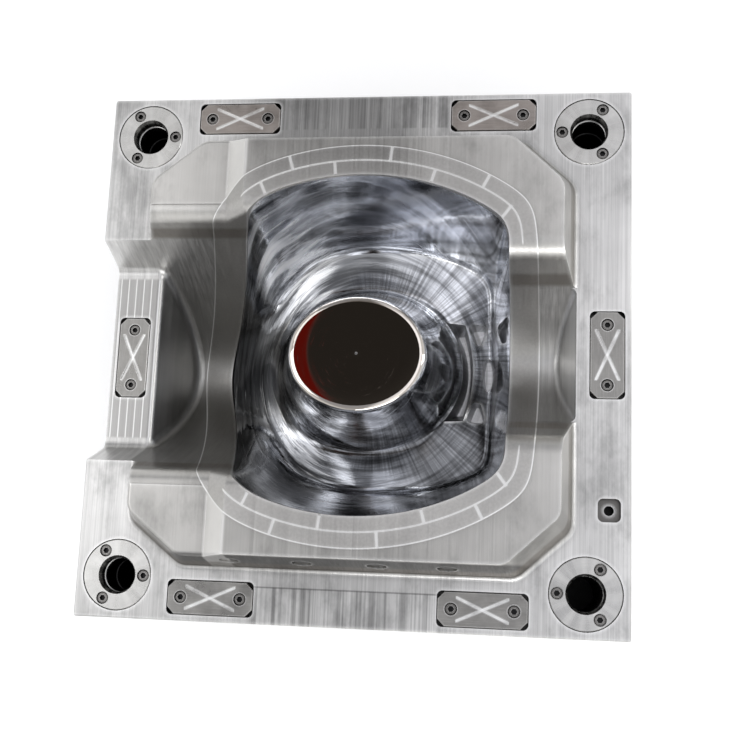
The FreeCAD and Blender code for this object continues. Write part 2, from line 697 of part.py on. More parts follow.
def wear_plate(x, y, z, turn):
    """Hardened plate with cut corners, crossed oil grooves and two screw holes."""
    hx, hy, cut = WEAR_LENGTH / 2, WEAR_WIDTH / 2, WEAR_CHAMFER
    corners = [(hx - cut, -hy), (hx, -hy + cut), (hx, hy - cut), (hx - cut, hy),
               (cut - hx, hy), (-hx, hy - cut), (-hx, cut - hy), (cut - hx, -hy)]
    face = polygon_face([vec(px, py, -WEAR_POCKET_DEPTH) for px, py in corners])
    plate = face.extrude(vec(0, 0, WEAR_POCKET_DEPTH + WEAR_PROUD))
    rim = [e for e in plate.Edges if e.BoundBox.ZMin > WEAR_PROUD - 0.01]
    plate = plate.makeChamfer(0.8, rim)
    span_x, span_y = OIL_GROOVE_SPAN
    length = math.hypot(span_x, span_y)
    tilt = math.degrees(math.atan2(span_y, span_x))
    for angle in (tilt, -tilt):
        width = OIL_GROOVE_WIDTH
        groove = box(-length / 2, length / 2, -width / 2, width / 2,
                     WEAR_PROUD - OIL_GROOVE_DEPTH, WEAR_PROUD + 1)
        groove.rotate(vec(0, 0, 0), vec(0, 0, 1), angle)
        plate = plate.cut(groove)
    seat = wear_screw_seat()
    holes = [screw_hole(M10, M10_LENGTH, sx, sy, seat, WEAR_PROUD + 1)
             for sx, sy in wear_screw_places(0, 0, 0)]
    return turned(plate.cut(holes), x, y, z, turn)


# ---- back of the mould ---------------------------------------------------------------------------------

def clamp_screw_places():
    outer, inner = [HALF - distance for distance in CLAMP_SCREW_EDGE_DISTANCE]
    signs = [(sx, sy) for sx in (-1, 1) for sy in (-1, 1)]
    return [(sx * inner, sy * outer) for sx, sy in signs] + [(sx * outer, sy * inner) for sx, sy in signs]


def ring_screw_places():
    r = RING_SCREW_CIRCLE / 2
    return [(r * math.cos(a), r * math.sin(a))
            for a in [math.radians(45 + 90 * i) for i in range(4)]]


def dowel_places():
    return [(-DOWEL_OFFSET, BUSH_PLACE), (DOWEL_OFFSET, -BUSH_PLACE)]


def nozzle_profile(gap):
    """Outline of the nozzle in the XZ plane, grown by gap for its seat."""
    head = NOZZLE_HEAD / 2 + gap
    body = NOZZLE_BODY / 2 + gap
    gate = GATE_DIAMETER / 2 + gap / 3
    head_z = -BLOCK_HEIGHT
    back_z = -LIFT + RING_HEIGHT
    cone_top = BOSS_TOP_Z - GATE_LAND
    cone_foot = cone_top - NOZZLE_TAPER
    return [(0, back_z), (head, back_z), (head, head_z), (body, head_z), (body, cone_foot),
            (gate, cone_top), (gate, BOSS_TOP_Z), (0, BOSS_TOP_Z)]


def revolved(profile):
    face = polygon_face([vec(r, 0, z) for r, z in profile])
    return face.revolve(vec(0, 0, 0), vec(0, 0, 1), 360)


def hot_nozzle():
    """Sprue nozzle from the clamping plate to the gate in the top of the boss."""
    nozzle = revolved(nozzle_profile(0))
    back = -LIFT + RING_HEIGHT
    taper_z = BOSS_TOP_Z - GATE_LAND - NOZZLE_TAPER
    wide = NOZZLE_CHANNEL / 2
    narrow = GATE_DIAMETER / 4
    channel = revolved([(0, back - 1), (wide, back - 1), (wide, taper_z),
                        (narrow, BOSS_TOP_Z - GATE_LAND), (narrow, BOSS_TOP_Z + 1), (0, BOSS_TOP_Z + 1)])
    seat = Part.makeSphere(NOZZLE_CHANNEL * 2, vec(0, 0, back - NOZZLE_CHANNEL))
    return nozzle.cut([channel, seat])


def clamping_plate():
    plate = box(-HALF, HALF, -HALF, HALF, -LIFT, -BLOCK_HEIGHT)
    plate = plate.makeChamfer(PLATE_CHAMFER, plate.Edges)
    cuts = [
        rod(RING_DIAMETER / 2 + FIT_GAP / 3, 0, 0, -LIFT - 1, -LIFT + RING_HEIGHT),
        rod(NOZZLE_HEAD / 2 + FIT_GAP, 0, 0, -LIFT, -BLOCK_HEIGHT + 1),
    ]
    for x, y in clamp_screw_places():
        cuts.append(screw_hole(M20, M20_LENGTH, x, y, clamp_screw_seat(), -LIFT - 1, -1))
    for x, y in ring_screw_places():
        cuts.append(screw_hole(M10, M10_LENGTH, x, y, ring_screw_seat(), -LIFT - 1, -1))
    for x, y in dowel_places():
        cuts.append(dowel_hole(x, y))
    return plate.cut(cuts)


def clamp_screw_seat():
    return -LIFT + M20[2] + SCREW_GAP


def ring_screw_seat():
    return -LIFT + M10[2] + SCREW_GAP


def dowel_hole(x, y):
    middle = -BLOCK_HEIGHT
    return rod(DOWEL_DIAMETER / 2, x, y, middle - DOWEL_LENGTH / 2, middle + DOWEL_LENGTH / 2)


def locating_ring():
    """Ring let into the clamping plate, flush with its back."""
    ring = rod(RING_DIAMETER / 2, 0, 0, -LIFT, -LIFT + RING_HEIGHT)
    ring = ring.cut(rod(RING_BORE / 2, 0, 0, -LIFT - 1, 0))
    rim = [e for e in ring.Edges if abs(e.BoundBox.Center.z + LIFT) < 0.01]
    ring = ring.makeChamfer(2, rim)
    holes = [screw_hole(M10, M10_LENGTH, x, y, ring_screw_seat(), -LIFT - 1, -1)
             for x, y in ring_screw_places()]
    return ring.cut(holes)


# ---- holes and pockets in the block -------------------------------------------------------------------

def cooling_ports():
    """X and outward direction of each end of the drilled cooling lines."""
    return [(sx * x, sy) for x in COOLING_X for sx in (-1, 1) for sy in (-1, 1)]


def lying(shape, x, direction):
    """Turn a shape modelled along +Z, base at z = 0, to point out of a front or rear port."""
    shape = shape.copy()
    shape.rotate(vec(0, 0, 0), vec(1, 0, 0), -90 * direction)
    shape.translate(vec(x, direction * (HALF - PORT_DEPTH), COOLING_Z))
    return shape


def cooling_nipple(x, direction):
    """Brass hose nipple sitting in its counterbore."""
    bore = NIPPLE_BORE / 2
    neck = COOLING_LINE / 2
    profile = [(bore, -12), (neck, -12), (neck, 0), (bore + 6, 0), (bore + 6, 3),
               (bore + 3, 3), (bore + 3, 10)]
    for k in range(3):
        z = 10 + 5 * k
        profile += [(bore + 4.5, z), (bore + 2.5, z + 5)]
    profile += [(bore, PORT_DEPTH - 5)]
    barb = revolved(profile)
    nut = hexagon(NIPPLE_HEX, 0, NIPPLE_HEX_HEIGHT).cut(rod(bore, 0, 0, -1, PORT_DEPTH))
    return lying(barb.fuse(nut).removeSplitter(), x, direction)


def side_holes():
    cuts = []
    for x in COOLING_X:
        for start in (vec(-x, -HALF, COOLING_Z), vec(x, -HALF, COOLING_Z)):
            cuts.append(Part.makeCylinder(COOLING_LINE / 2, PLATE_SIZE, start, vec(0, 1, 0)))
    for x, direction in cooling_ports():
        cuts.append(lying(rod(PORT_DIAMETER / 2, 0, 0, 0, PORT_DEPTH + 1), x, direction))
    for dx, dy in ((1, 0), (-1, 0), (0, 1), (0, -1)):
        reach = HALF - LIFTING_DEPTH
        start = vec(dx * reach, dy * reach, LIFTING_Z)
        cuts.append(Part.makeCylinder(LIFTING_HOLE / 2, LIFTING_DEPTH + 1, start, vec(dx, dy, 0)))
    for side in (-1, 1):
        inner = side * (HALF - CLAMP_SLOT_DEPTH)
        outer = side * (HALF + 1)
        cuts.append(box(min(inner, outer), max(inner, outer), -HALF - 1, HALF + 1,
                        -BLOCK_HEIGHT - 1, -BLOCK_HEIGHT + CLAMP_SLOT_HEIGHT))
    return cuts


def corner_pocket():
    """Small square recess at the right edge with a tapped hole in its floor."""
    from_right, from_front = CORNER_POCKET_PLACE
    x, y = HALF - from_right, from_front - HALF
    hx, hy = CORNER_POCKET[0] / 2, CORNER_POCKET[1] / 2
    wire = rounded_wire([(x - hx, y - hy), (x + hx, y - hy), (x + hx, y + hy), (x - hx, y + hy)],
                        CORNER_POCKET_RADIUS, -CORNER_POCKET_DEPTH)
    pocket = Part.Face(wire).extrude(vec(0, 0, CORNER_POCKET_DEPTH + 1))
    thread = rod(CORNER_POCKET_THREAD / 2, x, y, -3 * CORNER_POCKET_DEPTH, 0)
    return pocket.fuse(thread)


def wall_marks():
    """Shallow round seats in the drafted front wall of the platform."""
    lean = math.radians(PLATFORM_DRAFT)
    outward = vec(0, -math.cos(lean), math.sin(lean))
    half_height = PLATFORM_HEIGHT / 2
    marks = []
    for x in WALL_MARK_X:
        middle = vec(x, -PLATFORM_HALF_WIDTH - half_height * math.tan(lean), half_height)
        marks.append(Part.makeCylinder(WALL_MARK / 2, PLATFORM_FOOT_RADIUS,
                                       middle - outward * WALL_MARK_DEPTH, outward))
    return marks


def cavity_block():
    """The one big piece: platform, channels, cavity and every hole in it."""
    block = moulding_surface(base_block())
    cuts = side_holes() + wall_marks() + [corner_pocket(), revolved(nozzle_profile(FIT_GAP))]
    for _, x, y, first in bush_places():
        cuts.append(bush_seat(x, y))
        for sx, sy in bush_screw_places(x, y, first):
            cuts.append(screw_hole(M10, M10_LENGTH, sx, sy, bush_screw_seat(), 0))
    for _, x, y, z, turn in wear_places():
        cuts.append(wear_pocket(x, y, z, turn))
        for sx, sy in wear_screw_places(x, y, turn):
            seat = z + wear_screw_seat()
            cuts.append(screw_hole(M10, M10_LENGTH, sx, sy, seat, z))
    for x, y in clamp_screw_places():
        cuts.append(screw_hole(M20, M20_LENGTH, x, y, clamp_screw_seat(), -LIFT, -1))
    for x, y in dowel_places():
        cuts.append(dowel_hole(x, y))
    return block.cut(cuts)


def write(name, shape):
    shape = shape.copy()
    shape.translate(vec(0, 0, LIFT))
    shape.exportStep(os.path.join("parts", name + ".step"))


def main():
    os.makedirs("parts", exist_ok=True)
    write("cavity_block", cavity_block())
    write("clamping_plate", clamping_plate())
    write("locating_ring", locating_ring())
    write("hot_nozzle", hot_nozzle())
    for name, x, y, first in bush_places():
        write("guide_bush_" + name, guide_bush(x, y, first))
        screws = [cap_screw(M10, M10_LENGTH, sx, sy, bush_screw_seat())
                  for sx, sy in bush_screw_places(x, y, first)]
        write("bush_screws_" + name, Part.makeCompound(screws))
    for name, x, y, z, turn in wear_places():
        write("wear_plate_" + name, wear_plate(x, y, z, turn))
        screws = [cap_screw(M10, M10_LENGTH, sx, sy, z + wear_screw_seat())
                  for sx, sy in wear_screw_places(x, y, turn)]
        write("wear_plate_screws_" + name, Part.makeCompound(screws))
    write("clamping_plate_screws", Part.makeCompound(
        [cap_screw(M20, M20_LENGTH, x, y, clamp_screw_seat(), -1) for x, y in clamp_screw_places()]))
    write("locating_ring_screws", Part.makeCompound(
        [cap_screw(M10, M10_LENGTH, x, y, ring_screw_seat(), -1) for x, y in ring_screw_places()]))
    write("dowel_pins", Part.makeCompound([dowel_hole(x, y) for x, y in dowel_places()]))
    write("cooling_nipples", Part.makeCompound([cooling_nipple(x, d) for x, d in cooling_ports()]))


main()
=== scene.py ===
"""Injection mould half: finishes, studio light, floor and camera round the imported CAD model."""
import math

import bpy
from mathutils import Matrix, Vector

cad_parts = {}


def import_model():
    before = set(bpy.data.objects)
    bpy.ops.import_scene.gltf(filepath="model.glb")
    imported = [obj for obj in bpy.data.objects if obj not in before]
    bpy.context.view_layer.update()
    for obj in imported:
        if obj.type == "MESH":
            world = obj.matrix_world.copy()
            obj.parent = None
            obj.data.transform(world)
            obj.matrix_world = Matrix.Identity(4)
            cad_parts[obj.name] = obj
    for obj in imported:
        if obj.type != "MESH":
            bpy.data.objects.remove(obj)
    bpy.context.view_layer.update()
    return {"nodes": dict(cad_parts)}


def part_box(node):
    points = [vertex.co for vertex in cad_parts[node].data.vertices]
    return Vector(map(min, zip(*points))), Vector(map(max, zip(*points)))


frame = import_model()

# ---- sizes in metres, in the frame of the CAD model ------------------------------------
BLOCK_LOW, BLOCK_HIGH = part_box("cavity_block")
PLATE_HALF = BLOCK_HIGH.x
PLATFORM_HEIGHT = 0.080
FACE_Z = BLOCK_HIGH.z - PLATFORM_HEIGHT
BUSH_PLACE = (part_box("guide_bush_rear_right")[0].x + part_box("guide_bush_rear_right")[1].x) / 2
BOSS_TOP_Z = FACE_Z - 0.013
LEDGE_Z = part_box("wear_plate_left")[1].z - 0.001

# wear plates stand in milled pockets, one place along each edge
WEAR_LENGTH = 0.126
WEAR_PLACE = 0.366
WEAR_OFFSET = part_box("wear_plate_front_right")[1].x - WEAR_LENGTH / 2
WEAR_POCKET_SPAN = (0.132, 0.053)
OIL_GROOVE_SPAN = (0.072, 0.032)
OIL_GROOVE_WIDTH = 0.0032
CORNER_POCKET = (0.3695, -0.2215)
CORNER_POCKET_SPAN = (0.036, 0.037)
MILLED_STEP_Y = -0.3475
LEDGE_LINES_PER_METRE = 80.0

# rim of the cavity in plan: two flat ellipse arcs, a straight right side and a bowed left side
RIM_ELLIPSE = (0.300, 0.246)
RIM_ELLIPSE_X = 0.012
RIM_RIGHT_X = 0.226
RIM_LEFT_X = 0.248
RIM_LEFT_BOW = (0.036, 0.060)
RIM_SHARPNESS = 26.0
LAND_WIDTH = 0.044
VENT_GROOVE_OFFSET = 0.0215
VENT_FLOOR_Z = FACE_Z + 0.0792

# depths in the cavity: floor of the trough, and of the hollows sunk in it
TROUGH_START_Z = FACE_Z - 0.138
TROUGH_FLOOR_Z = FACE_Z - 0.150
HOLLOW_EDGE_Z = FACE_Z - 0.157
HOLLOW_FLOOR_Z = FACE_Z - 0.191

PAINTED_HOLE_SHADE = (0.012, 0.012, 0.012)
PAINTED_EDGE_HIGHLIGHT = (0.90, 0.90, 0.89)
PAINTED_GLINT = (0.97, 0.97, 0.98)


class Field:
    """A number that varies over a surface, with arithmetic that builds math nodes."""

    def __init__(self, nodes, socket):
        self.nodes = nodes
        self.socket = socket

    def make(self, operation, first, second=None):
        node = self.nodes.add("ShaderNodeMath", operation=operation)
        self.nodes.feed(node.inputs[0], first)
        if second is not None:
            self.nodes.feed(node.inputs[1], second)
        return Field(self.nodes, node.outputs[0])

    def __add__(self, other):
        return self.make("ADD", self, other)

    def __sub__(self, other):
        return self.make("SUBTRACT", self, other)

    def __mul__(self, other):
        return self.make("MULTIPLY", self, other)

    def __truediv__(self, other):
        return self.make("DIVIDE", self, other)

    def __pow__(self, other):
        return self.make("POWER", self, other)

    def __rsub__(self, other):
        return self.make("SUBTRACT", other, self)

    def under(self, other):
        return self.make("DIVIDE", other, self)

    def root(self):
        return self.make("SQRT", self)

    def size(self):
        return self.make("ABSOLUTE", self)

    def least(self, other):
        return self.make("MINIMUM", self, other)

    def most(self, other):
        return self.make("MAXIMUM", self, other)

    def rise(self, low, high, start=0.0, end=1.0):
        """Smooth step from start at low to end at high."""
        node = self.nodes.add("ShaderNodeMapRange", interpolation_type="SMOOTHSTEP")
        for name, value in (("Value", self), ("From Min", low), ("From Max", high),
                            ("To Min", start), ("To Max", end)):
            self.nodes.feed(node.inputs[name], value)
        return Field(self.nodes, node.outputs[0])

    def band(self, middle, width, soft=0.0004):
        """One within a band of the given width, falling softly to nothing outside it."""
        return (self - middle).size().rise(width / 2 + soft, width / 2)


class Nodes:
    """Small builder for a node tree."""

    def __init__(self, owner):
        owner.use_nodes = True
        self.tree = owner.node_tree

    def add(self, kind, **settings):
        node = self.tree.nodes.new(kind)
        for key, value in settings.items():
            setattr(node, key, value)
        return node

    def feed(self, socket, value):
        """Give a socket a number, a colour or another node's output."""
        if isinstance(value, Field):
            value = value.socket
        if isinstance(value, bpy.types.NodeSocket):
            self.tree.links.new(value, socket)
        elif isinstance(value, tuple) and len(value) == 3 and socket.type == "RGBA":
            socket.default_value = (*value, 1.0)
        else:
            socket.default_value = value

    def split(self, vector):
        node = self.add("ShaderNodeSeparateXYZ")
        self.feed(node.inputs[0], vector)
        return [Field(self, output) for output in node.outputs]

    def join(self, x, y, z):
        node = self.add("ShaderNodeCombineXYZ")
        for socket, value in zip(node.inputs, (x, y, z)):
            self.feed(socket, value)
        return node.outputs[0]

    def place(self):
        """Position on the object, in metres."""
        self.point = self.add("ShaderNodeTexCoord").outputs["Object"]
        self.x, self.y, self.z = self.split(self.point)

    def turn(self, x, y):
        """Angle of a point round the origin of x and y."""
        return x.make("ARCTAN2", y, x)

    def noise(self, scales, detail=3.0, roughness=0.6, point=None):
        """Noise with its own scale along each axis."""
        mapping = self.add("ShaderNodeMapping")
        self.feed(mapping.inputs["Vector"], point or self.point)
        self.feed(mapping.inputs["Scale"], scales)
        node = self.add("ShaderNodeTexNoise")
        self.feed(node.inputs["Vector"], mapping.outputs[0])
        self.feed(node.inputs["Scale"], 1.0)
        self.feed(node.inputs["Detail"], detail)
        self.feed(node.inputs["Roughness"], roughness)
        return Field(self, node.outputs["Fac"])

    def nearness(self, distance, inside):
        """Open sky seen from a point (low in creases), or from inside it (low at outer edges)."""
        node = self.add("ShaderNodeAmbientOcclusion", samples=3, inside=inside)
        self.feed(node.inputs["Distance"], distance)
        return Field(self, node.outputs["AO"])

    def mix(self, share, first, second, blend="MIX"):
        node = self.add("ShaderNodeMix", data_type="RGBA", blend_type=blend)
        self.feed(node.inputs["Factor"], share)
        self.feed(node.inputs[6], first)
        self.feed(node.inputs[7], second)
        return node.outputs[2]

    def scaled(self, colour, amount):
        """Colour times a number that varies over the surface."""
        grey = self.add("ShaderNodeCombineColor")
        for socket in grey.inputs:
            self.feed(socket, amount)
        return self.mix(1.0, colour, grey.outputs[0], "MULTIPLY")

    def bump(self, height, strength, distance, under=None):
        node = self.add("ShaderNodeBump")
        self.feed(node.inputs["Height"], height)
        self.feed(node.inputs["Strength"], strength)
        self.feed(node.inputs["Distance"], distance)
        if under is not None:
            self.feed(node.inputs["Normal"], under)
        return node.outputs[0]


class Surface(Nodes):
    """A material with its position fields ready."""

    def __init__(self, name):
        self.material = bpy.data.materials.new(name)
        super().__init__(self.material)
        self.place()

    def finish(self, colour, roughness, metallic=1.0, normal=None):
        shader = self.tree.nodes["Principled BSDF"]
        self.feed(shader.inputs["Base Color"], colour)
        self.feed(shader.inputs["Roughness"], roughness)
        self.feed(shader.inputs["Metallic"], metallic)
        if normal is not None:
            self.feed(shader.inputs["Normal"], normal)
        return self.material


def past_rim(n):
    """Distance outside the cavity's rim, measured along rays from the middle of the boss."""
    reach = (n.x * n.x + n.y * n.y).root().most(0.001)
    c = n.x / reach
    s = n.y / reach
    a, b = RIM_ELLIPSE
    square = (c * c) / (a * a) + (s * s) / (b * b)
    linear = c * (-2 * RIM_ELLIPSE_X / (a * a))
    rest = (RIM_ELLIPSE_X / a) ** 2 - 1
    ellipse = ((linear * linear - square * (4 * rest)).root() - linear) / (square * 2)
    right = c.most(0.02).under(RIM_RIGHT_X)
    rise, spread = RIM_LEFT_BOW
    bow_b = c.least(-0.02) * (2 * (RIM_LEFT_X + rise))
    bow_c = (RIM_LEFT_X + rise) ** 2 - rise ** 2
    bow_a = c * c - s * s * (rise / spread) ** 2
    left = ((bow_b * bow_b - bow_a * (4 * bow_c)).root() - bow_b).under(2 * bow_c)
    total = ellipse ** -RIM_SHARPNESS + right ** -RIM_SHARPNESS + left ** -RIM_SHARPNESS
    return reach - total ** (-1 / RIM_SHARPNESS)


class BlockSteel(Surface):
    """Block: milled satin steel outside, ground land round the rim, mirror polish in the cavity."""

    def __init__(self):
        super().__init__("block_steel_finish")
        self.past = past_rim(self)
        self.far_y = self.y.size()
        self.near_x = self.x.size()
        self.clouds = self.noise((6, 6, 6), 3.0)
        self.smudges = self.noise((14, 7, 9), 5.0, 0.7)
        self.bars = self.noise((130, 1.2, 6), 2.0, 0.55)
        self.lines = self.noise((420, 3, 30), 3.0, 0.7)
        self.scratches = self.noise((30, 500, 60), 2.0)
        normal = self.add("ShaderNodeNewGeometry").outputs["Normal"]
        self.lean_y, self.tilt = self.split(normal)[1:]
        # painted shade: creases of the block darker where they see little open sky
        self.painted_crease_shade = self.nearness(0.014, False)
        # rubbed edges painted near white: edge wear, and painted highlights along the edges
        self.wear_and_edge_sheen = self.nearness(0.0055, True)
        self.on_face = self.z.rise(FACE_Z + 0.006, FACE_Z + 0.002)
        # painted shade: the rear middle of the block darker
        self.painted_rear_shade = self.y.rise(0.15, 0.33) * self.x.band(-0.05, 0.16, 0.10)
        # painted shade: darker further below the face, inside the plate
        self.depth_shade = self.z.rise(FACE_Z - 0.02, FACE_Z - 0.20) * self.inside_plate()
        self.polished = self.past.rise(-0.0006, -0.0014)
        self.radius = (self.x * self.x + self.y * self.y).root().most(0.001)
        c, s = self.x / self.radius, self.y / self.radius
        self.sweep = self.noise((1, 1, 1), 4.0, 0.6, self.join(c * 0.9, s * 0.9, self.radius * 90))
        self.fine = self.noise((1, 1, 1), 3.0, 0.6, self.join(c * 2.0, s * 2.0, self.radius * 380))
        self.rays = self.noise((1, 1, 1), 3.0, 0.6, self.join(c * 42, s * 42, self.radius * 5))
        self.find_cavity_zones()

    def inside_plate(self):
        """One everywhere but on the four outer side faces."""
        return self.near_x.most(self.far_y).rise(PLATE_HALF - 0.0002, PLATE_HALF - 0.001)

    def find_cavity_zones(self):
        """Boss top, trough floor, hollows, and one painted highlight streak and painted glints of the
        polished cavity.
        """
        self.top = self.z.rise(BOSS_TOP_Z - 0.003, BOSS_TOP_Z - 0.001) * self.radius.rise(0.115, 0.110)
        low = self.z.rise(TROUGH_START_Z, TROUGH_FLOOR_Z) * self.radius.rise(0.128, 0.138)
        self.bottom = low * self.x.rise(-0.06, 0.02)
        below = self.z.rise(HOLLOW_EDGE_Z, HOLLOW_EDGE_Z - 0.005) * self.tilt.rise(0.7, 0.4)
        below = below.most(self.z.rise(HOLLOW_FLOOR_Z, HOLLOW_FLOOR_Z - 0.005))
        self.pocket = below * self.x.rise(0.095, 0.100) * self.far_y.rise(0.095, 0.090)
        # painted highlight: one bright streak on the rear left wall
        streak = self.x.band(-0.125, 0.07, 0.05) * self.y.band(0.155, 0.06, 0.04)
        self.painted_shine = streak * self.sweep.rise(0.40, 0.60)
        # painted glints: thin bright arcs, not on the trough floor
        ticks = self.fine.rise(0.60, 0.70) * self.clouds.rise(0.42, 0.55)
        self.painted_glint = ticks * (1.0 - self.bottom)

    def outer_face(self):
        """Cutter marks along Y, strongest between the wear plates, and smudges."""
        on_top = self.z.rise(FACE_Z - 0.004, FACE_Z - 0.001)
        between = self.near_x.rise(0.150, 0.135) * self.far_y.rise(0.346, 0.349) * on_top
        tone = self.clouds.rise(0.3, 0.7, 0.88, 1.08) * self.bars.rise(0.3, 0.7, 0.90, 1.05)
        tone = tone * ((self.bars.rise(0.33, 0.62, 0.66, 1.06) - 1.0) * between + 1.0)
        step = self.y.band(MILLED_STEP_Y, 0.0014, 0.001) * self.near_x.rise(0.2, 0.19)
        tone = tone * (1.0 - step * 0.45)
        smudge = (self.smudges.rise(0.45, 0.72, 1.03, 0.64) - 1.0) * on_top.most(0.25) + 1.0
        tone = tone * self.lines.rise(0.3, 0.7, 0.82, 1.06) * smudge
        # painted shade at the rear middle; the front edge a little darker
        tone = tone * (1.0 - self.painted_rear_shade * 0.48) * self.y.rise(-0.30, -0.33, 1.0, 0.93)
        return self.scaled((0.640, 0.635, 0.625), tone)

    def platform(self):
        """Platform and terraces: smoother, a little warmer; painted shade at the rear middle and on the
        front wall, the front part darker, and the short ramps painted brighter as a highlight.
        """
        calm = self.clouds.rise(0.3, 0.7, 0.84, 1.07) * self.lines.rise(0.25, 0.75, 0.94, 1.03)
        calm = calm * self.smudges.rise(0.48, 0.75, 1.03, 0.74) * (1.0 - self.painted_rear_shade * 0.48)
        # painted shade on the front wall of the platform
        painted_front_wall_shade = self.y.rise(-0.300, -0.306) * self.z.rise(FACE_Z + 0.076, FACE_Z + 0.070)
        calm = calm * (1.0 - painted_front_wall_shade * 0.76) * self.y.rise(-0.15, -0.24, 1.0, 0.82)
        colour = self.scaled((0.560, 0.550, 0.530), calm)
        # painted highlight on the short ramps
        painted_ramp_highlight = self.x.band(-0.178, 0.030, 0.004) * self.far_y.rise(0.215, 0.225)
        return self.mix(painted_ramp_highlight * (1.0 - self.on_face) * 0.55, colour, (0.93, 0.92, 0.90))

    def add_ledge(self, steel):
        """Bright cutter lines at an even pitch on the ledge under the left wear plate."""
        ledge = self.x.rise(-0.318, -0.322) * self.far_y.rise(0.13, 0.125) * self.z.band(LEDGE_Z, 0.004)
        pitch = self.x.make("FRACT", self.x * LEDGE_LINES_PER_METRE)
        steel = self.mix(ledge * 0.7, steel, (0.30, 0.295, 0.29))
        return self.mix(ledge * pitch.band(0.5, 0.10, 0.05) * 0.7, steel, (0.92, 0.92, 0.91))

    def add_channels(self, steel):
        """Painted shade in the channels, darker towards the bottom, and a painted highlight on the right end
        wall near its top.
        """
        steel = self.mix(self.depth_shade * 0.6, steel, (0.24, 0.235, 0.22))
        # painted highlight near the top of the right end wall
        wall = self.x.rise(0.304, 0.320) * self.x.rise(0.350, 0.345) * self.far_y.rise(0.135, 0.130)
        wall = wall * self.z.rise(FACE_Z - 0.002, FACE_Z - 0.006)
        return self.mix(wall * self.z.rise(FACE_Z - 0.09, FACE_Z - 0.05) * 0.6, steel, (0.90, 0.89, 0.88))

    def painted_vent_highlights(self):
        """Painted highlights: bright edge of the land, vent groove, and floors of the vents by their height.
        """
        on_top = self.z.rise(FACE_Z + 0.0765, FACE_Z + 0.0785)
        marks = self.past.band(LAND_WIDTH, 0.0016)
        marks = marks.most(self.past.band(VENT_GROOVE_OFFSET, 0.0020) * on_top)
        sunk = self.z.band(VENT_FLOOR_Z, 0.0007, 0.0001) * self.past.rise(0.002, 0.003)
        sunk = sunk * self.past.rise(LAND_WIDTH, LAND_WIDTH - 0.001) * self.tilt.rise(0.990, 0.998)
        return marks.most(sunk)

    def add_land(self, steel):
        """Ground land round the rim; painted shade low down, at the rear middle, on shoulders facing the
        rear and in the creases of the block; painted highlights on the vents.
        """
        on_land = self.past.rise(-0.0012, -0.0006) * self.past.rise(LAND_WIDTH + 0.0010, LAND_WIDTH + 0.0004)
        mottled = self.noise((260, 260, 260), 3.0).rise(0.35, 0.65, 0.95, 1.03)
        # land: painted shade at the rear middle and low down
        tone = mottled * self.clouds.rise(0.3, 0.7, 0.86, 1.05) * (1.0 - self.painted_rear_shade * 0.55)
        land = self.mix(self.depth_shade * 0.6, self.scaled((0.500, 0.490, 0.475), tone), (0.22, 0.215, 0.20))
        steel = self.mix(on_land, steel, land)
        # painted shade on the shoulders that face the rear
        painted_shoulder_shade = self.lean_y.rise(0.30, 0.75) * self.near_x.rise(0.335, 0.330)
        painted_shoulder_shade = painted_shoulder_shade * self.y.rise(-0.19, -0.18) * self.y.rise(0.0, -0.01)
        steel = self.mix(painted_shoulder_shade * 0.55, steel, (0.10, 0.095, 0.085))
        # painted shade in the creases
        steel = self.mix(self.painted_crease_shade.rise(0.92, 0.45) * 0.80, steel, (0.085, 0.08, 0.075))
        # painted highlights on the land's edge and the vents
        return self.mix(self.painted_vent_highlights() * 0.75, steel, PAINTED_EDGE_HIGHLIGHT)

    def add_painted_shade(self, steel):
        """Painted shade: a brown band at the base of the platform walls, and dark insides of pockets and
        bush seats.
        """
        # painted brown shade at the base of the platform walls
        foot = self.z.band(FACE_Z + 0.017, 0.014, 0.010) * self.tilt.rise(0.97, 0.85)
        steel = self.mix(foot * 0.55, steel, (0.17, 0.145, 0.12))
        # painted shade in the corner pocket, black down its hole
        corner = self.x.band(CORNER_POCKET[0], CORNER_POCKET_SPAN[0], 0.001)
        corner = corner * self.y.band(CORNER_POCKET[1], CORNER_POCKET_SPAN[1], 0.001)
        below = self.z.rise(FACE_Z - 0.001, FACE_Z - 0.004)
        steel = self.mix(corner * below * 0.8, steel, (0.10, 0.095, 0.09))
        hole = self.z.rise(FACE_Z - 0.013, FACE_Z - 0.018)
        steel = self.mix(corner * hole, steel, (0.015, 0.015, 0.015))
        length, width = WEAR_POCKET_SPAN
        beside = self.near_x.band(WEAR_OFFSET, length, 0.001) * self.far_y.band(WEAR_PLACE, width, 0.001)
        beside = beside.most(self.x.band(WEAR_PLACE, width, 0.001) * self.far_y.rise(0.067, 0.066))
        # painted shade in the sunk wear plate pockets
        sunk = self.z.rise(FACE_Z - 0.0008, FACE_Z - 0.002)
        steel = self.mix(beside * sunk * 0.9, steel, (0.02, 0.02, 0.02))
        # painted shade, black in the bush seats
        dark = past_bush(self).rise(0.056, 0.050) * self.z.rise(FACE_Z - 0.006, FACE_Z - 0.016)
        return self.mix(dark, steel, PAINTED_HOLE_SHADE)

    def cavity(self):
        """Mirror polish with sweeping marks round the boss and rays on the trough floors, real marks painted
        light and dark as their reflections; painted shade and painted highlights in places, and a warm
        painted tint on the boss top.
        """
        # polishing marks, painted light and dark as reflections
        shade = self.sweep.rise(0.35, 0.65, 0.42, 1.34)
        # painted shade on the front half of the trough floor
        shade = shade * (1.0 - self.bottom * self.y.rise(0.06, -0.06) * 0.68)
        shade = shade * ((self.rays.rise(0.3, 0.7, 0.45, 1.15) - 1.0) * self.bottom + 1.0)
        # painted shade on the left wall
        shade = shade * (1.0 - self.x.rise(-0.13, -0.20) * self.far_y.rise(0.18, 0.08) * 0.75)
        # painted shade on the front-left wall
        shade = shade * (1.0 - self.x.rise(-0.02, -0.12) * self.y.rise(-0.10, -0.16) * 0.80)
